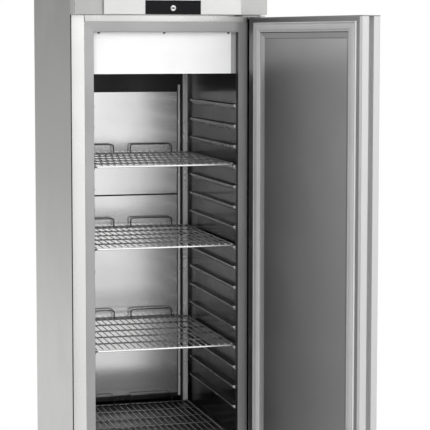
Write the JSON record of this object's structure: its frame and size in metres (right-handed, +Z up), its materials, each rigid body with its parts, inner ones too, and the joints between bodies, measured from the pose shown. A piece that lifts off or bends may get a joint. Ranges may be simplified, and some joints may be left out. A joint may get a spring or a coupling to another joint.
{
  "type": "commercial refrigerator",
  "caption": "Upright commercial refrigerator with a hinged door, wire shelves on side ledges, a control panel and lock above the door, a fan evaporator and a compressor in the base.",
  "frame": {"origin": "on the floor, at the centre of the four levelling feet", "axes": "+X to the right seen from the front, +Y to the back, +Z up"},
  "size_m": [0.7596, 1.259, 1.875],
  "materials": {
    "outer_steel": "vertical brushed satin steel",
    "frame_steel": "fine brushed bright steel",
    "liner_steel": "polished steel",
    "sheet_zinc": "dull zinc-coated sheet",
    "foam": "rigid insulating foam",
    "seal_grey": "satin grey plastic",
    "gasket_grey": "soft grey seal",
    "cover_white": "smooth white paint",
    "panel_silver": "light satin paint",
    "display_black": "gloss black",
    "guide_black": "matt black",
    "wire_steel": "bright steel wire",
    "grip_aluminium": "satin anodised",
    "cap_plastic": "grey plastic",
    "hinge_steel": "plain steel",
    "screw_steel": "dark plain steel",
    "lock_nickel": "nickel plate",
    "plug_dark": "nickel plate",
    "coil_aluminium": "plain fins",
    "motor_black": "black paint",
    "blade_plastic": "black plastic",
    "box_plastic": "dark grey plastic",
    "tray_plastic": "black plastic",
    "leg_steel": "satin steel",
    "foot_plastic": "black plastic",
    "inlet_black": "black plastic"
  },
  "bodies": {
    "cabinet": {"left_side_panel": "outer_steel", "right_side_panel": "outer_steel", "back_panel": "sheet_zinc", "top_cover": "sheet_zinc", "deck_plates": "sheet_zinc", "left_stile": "frame_steel", "right_stile": "frame_steel", "front_rails": "frame_steel", "seal_frame": "seal_grey", "cabinet_foam": "foam", "left_liner": "liner_steel", "right_liner": "liner_steel", "back_liner": "liner_steel", "ceiling_liner": "liner_steel", "floor_liner": "liner_steel", "left_shelf_ledges": "liner_steel", "right_shelf_ledges": "liner_steel", "rear_posts": "liner_steel", "duct_panel_upper": "liner_steel", "duct_panel_lower": "liner_steel", "duct_side_strips": "liner_steel", "air_guide": "guide_black", "evaporator_cover": "cover_white", "interior_screws": "screw_steel", "evaporator_coil": "coil_aluminium", "evaporator_fan_frame": "motor_black", "fascia_housing": "outer_steel", "control_panel": "panel_silver", "display_window": "display_black", "lock_barrel": "lock_nickel", "electronics_box": "box_plastic", "hinge_brackets": "hinge_steel", "hinge_pins": "hinge_steel", "front_grille": "outer_steel", "rear_grille": "sheet_zinc", "compressor": "motor_black", "condenser_coil": "coil_aluminium", "condenser_fan_housing": "motor_black", "evaporation_tray": "tray_plastic", "mains_inlet": "inlet_black", "legs": "leg_steel"},
    "door": {"door_skin": "outer_steel", "door_liner": "liner_steel", "door_foam": "foam", "grip_profile": "grip_aluminium", "door_end_caps": "cap_plastic", "door_gasket": "gasket_grey", "hinge_bushes": "cap_plastic"},
    "lock": {"lock_plug": "plug_dark", "lock_cam": "hinge_steel"},
    "evaporator_fan": {"evaporator_fan_rotor": "blade_plastic"},
    "condenser_fan": {"condenser_fan_rotor": "blade_plastic"},
    "front_left_foot": {"foot_front_left": "foot_plastic"},
    "front_right_foot": {"foot_front_right": "foot_plastic"},
    "rear_left_foot": {"foot_rear_left": "foot_plastic"},
    "rear_right_foot": {"foot_rear_right": "foot_plastic"},
    "shelf_1": {"wire_shelf_1": "wire_steel"},
    "shelf_2": {"wire_shelf_2": "wire_steel"},
    "shelf_3": {"wire_shelf_3": "wire_steel"},
    "shelf_4": {"wire_shelf_4": "wire_steel"}
  },
  "joints": [
    {"name": "door_hinge", "type": "hinge", "parent": "cabinet", "child": "door", "pos_m": [0.284, -0.361, 1.1], "axis": [0, 0, 1], "range_deg": [-104.6, 15.4]},
    {"name": "shelf_1_slide", "type": "slide", "parent": "cabinet", "child": "shelf_1", "axis": [0, -1, 0], "range_m": [0, 0.4]},
    {"name": "shelf_2_slide", "type": "slide", "parent": "cabinet", "child": "shelf_2", "axis": [0, -1, 0], "range_m": [0, 0.4]},
    {"name": "shelf_3_slide", "type": "slide", "parent": "cabinet", "child": "shelf_3", "axis": [0, -1, 0], "range_m": [0, 0.4]},
    {"name": "shelf_4_slide", "type": "slide", "parent": "cabinet", "child": "shelf_4", "axis": [0, -1, 0], "range_m": [0, 0.4]},
    {"name": "lock_turn", "type": "hinge", "parent": "cabinet", "child": "lock", "pos_m": [0, -0.3945, 1.784], "axis": [0, 1, 0], "range_deg": [-90, 0]},
    {"name": "evaporator_fan_spin", "type": "hinge", "parent": "cabinet", "child": "evaporator_fan", "pos_m": [0, -0.1975, 1.6062], "axis": [0, 0, 1], "continuous": true},
    {"name": "condenser_fan_spin", "type": "hinge", "parent": "cabinet", "child": "condenser_fan", "pos_m": [-0.07, -0.2125, 0.242], "axis": [0, 1, 0], "continuous": true},
    {"name": "front_left_foot_screw", "type": "slide", "parent": "cabinet", "child": "front_left_foot", "axis": [0, 0, -1], "range_m": [0, 0.025]},
    {"name": "front_right_foot_screw", "type": "slide", "parent": "cabinet", "child": "front_right_foot", "axis": [0, 0, -1], "range_m": [0, 0.025]},
    {"name": "rear_left_foot_screw", "type": "slide", "parent": "cabinet", "child": "rear_left_foot", "axis": [0, 0, -1], "range_m": [0, 0.025]},
    {"name": "rear_right_foot_screw", "type": "slide", "parent": "cabinet", "child": "rear_right_foot", "axis": [0, 0, -1], "range_m": [0, 0.025]}
  ]
}
